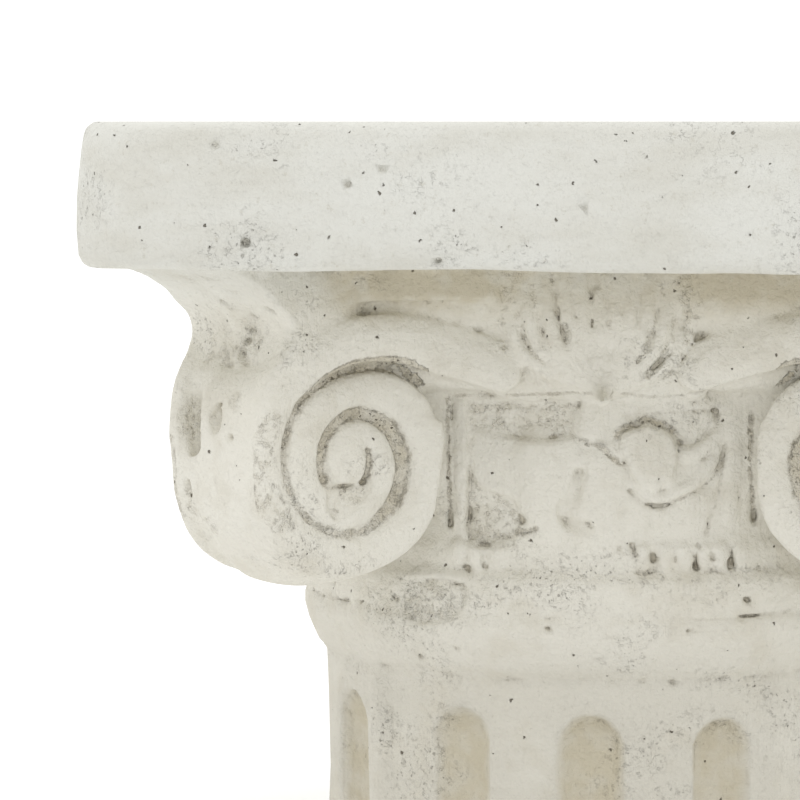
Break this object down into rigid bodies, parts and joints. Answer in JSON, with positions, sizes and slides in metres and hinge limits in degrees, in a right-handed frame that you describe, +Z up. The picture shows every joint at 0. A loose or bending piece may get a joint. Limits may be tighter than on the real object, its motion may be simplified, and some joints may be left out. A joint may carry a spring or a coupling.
{
  "type": "ionic capital",
  "caption": "Square slab top over an ionic capital with diagonal scrolls, a worn relief neck and ring, on the head of a round fluted shaft.",
  "frame": {"origin": "centre of the flat underside, where the shaft is cut", "axes": "+Z up along the shaft's axis, the front looks along -Y, +X to the right seen from the front"},
  "size_m": [0.36, 0.36, 0.262],
  "materials": {
    "cast_stone": "matte, pitted, with beige dirt in the hollows"
  },
  "bodies": {
    "root": {"ionic_capital": "cast_stone"}
  },
  "joints": []
}
